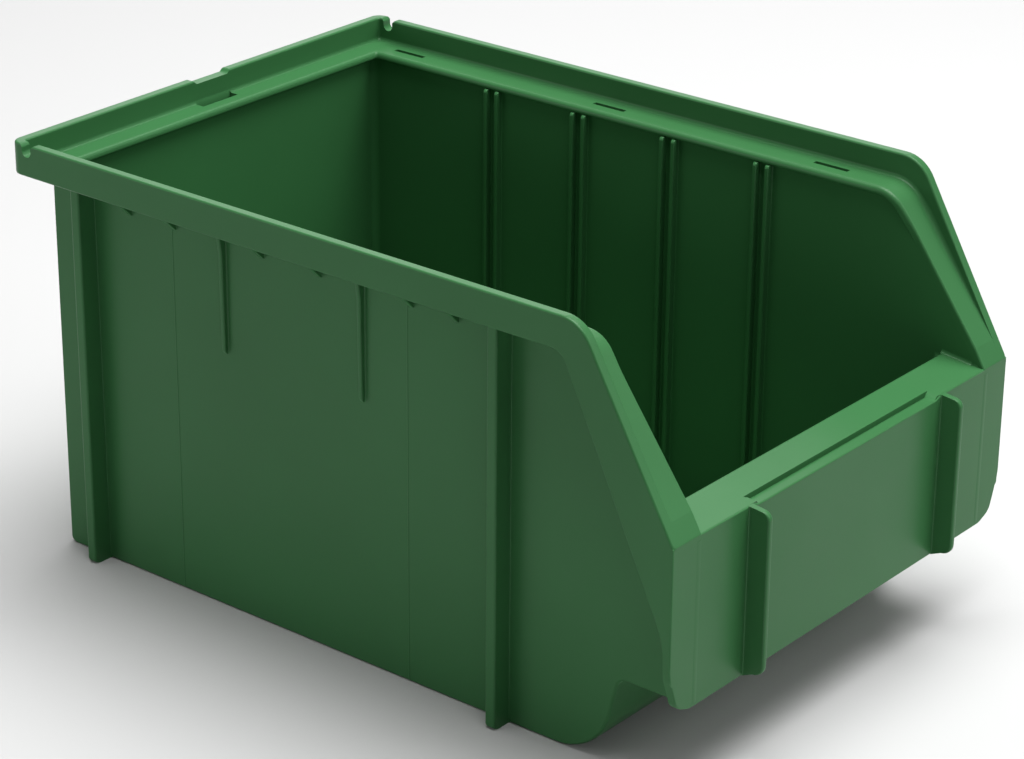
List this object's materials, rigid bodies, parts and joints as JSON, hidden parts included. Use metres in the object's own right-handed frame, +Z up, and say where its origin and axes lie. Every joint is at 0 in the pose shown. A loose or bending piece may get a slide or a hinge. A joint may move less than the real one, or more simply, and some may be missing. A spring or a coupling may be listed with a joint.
{
  "type": "stackable storage bin",
  "caption": "Open-front stackable small-parts bin with a stacking rim, sloping front flanges, a front lip with label ribs, side fins and inner divider slots.",
  "frame": {"origin": "centre of the overall box, on the plane the bin stands on", "axes": "+Z up, the open hopper front faces -Y, +X is the right-hand side seen from the front"},
  "size_m": [0.15, 0.23, 0.122],
  "materials": {
    "green_polypropylene": "satin moulded polypropylene with a soft sheen"
  },
  "bodies": {
    "root": {"back_wall": "green_polypropylene", "floor_panel": "green_polypropylene", "front_lip": "green_polypropylene", "front_panel": "green_polypropylene", "front_wall": "green_polypropylene", "left_band": "green_polypropylene", "left_cheek": "green_polypropylene", "left_divider_1_front_rib": "green_polypropylene", "left_divider_1_rear_rib": "green_polypropylene", "left_divider_2_front_rib": "green_polypropylene", "left_divider_2_rear_rib": "green_polypropylene", "left_divider_3_front_rib": "green_polypropylene", "left_divider_3_rear_rib": "green_polypropylene", "left_divider_4_front_rib": "green_polypropylene", "left_divider_4_rear_rib": "green_polypropylene", "left_gusset_1": "green_polypropylene", "left_gusset_2": "green_polypropylene", "left_gusset_3": "green_polypropylene", "left_gusset_4": "green_polypropylene", "left_gusset_5": "green_polypropylene", "left_gusset_6": "green_polypropylene", "left_label_rib": "green_polypropylene", "left_ledge": "green_polypropylene", "left_long_rib_1": "green_polypropylene", "left_long_rib_2": "green_polypropylene", "left_slope_flange": "green_polypropylene", "left_slope_ledge": "green_polypropylene", "left_stacking_fin_1": "green_polypropylene", "left_stacking_fin_2": "green_polypropylene", "left_wall": "green_polypropylene", "rear_band": "green_polypropylene", "rear_ledge": "green_polypropylene", "right_band": "green_polypropylene", "right_cheek": "green_polypropylene", "right_divider_1_front_rib": "green_polypropylene", "right_divider_1_rear_rib": "green_polypropylene", "right_divider_2_front_rib": "green_polypropylene", "right_divider_2_rear_rib": "green_polypropylene", "right_divider_3_front_rib": "green_polypropylene", "right_divider_3_rear_rib": "green_polypropylene", "right_divider_4_front_rib": "green_polypropylene", "right_divider_4_rear_rib": "green_polypropylene", "right_gusset_1": "green_polypropylene", "right_gusset_2": "green_polypropylene", "right_gusset_3": "green_polypropylene", "right_gusset_4": "green_polypropylene", "right_gusset_5": "green_polypropylene", "right_gusset_6": "green_polypropylene", "right_label_rib": "green_polypropylene", "right_ledge": "green_polypropylene", "right_long_rib_1": "green_polypropylene", "right_long_rib_2": "green_polypropylene", "right_slope_flange": "green_polypropylene", "right_slope_ledge": "green_polypropylene", "right_stacking_fin_1": "green_polypropylene", "right_stacking_fin_2": "green_polypropylene", "right_wall": "green_polypropylene"}
  },
  "joints": []
}
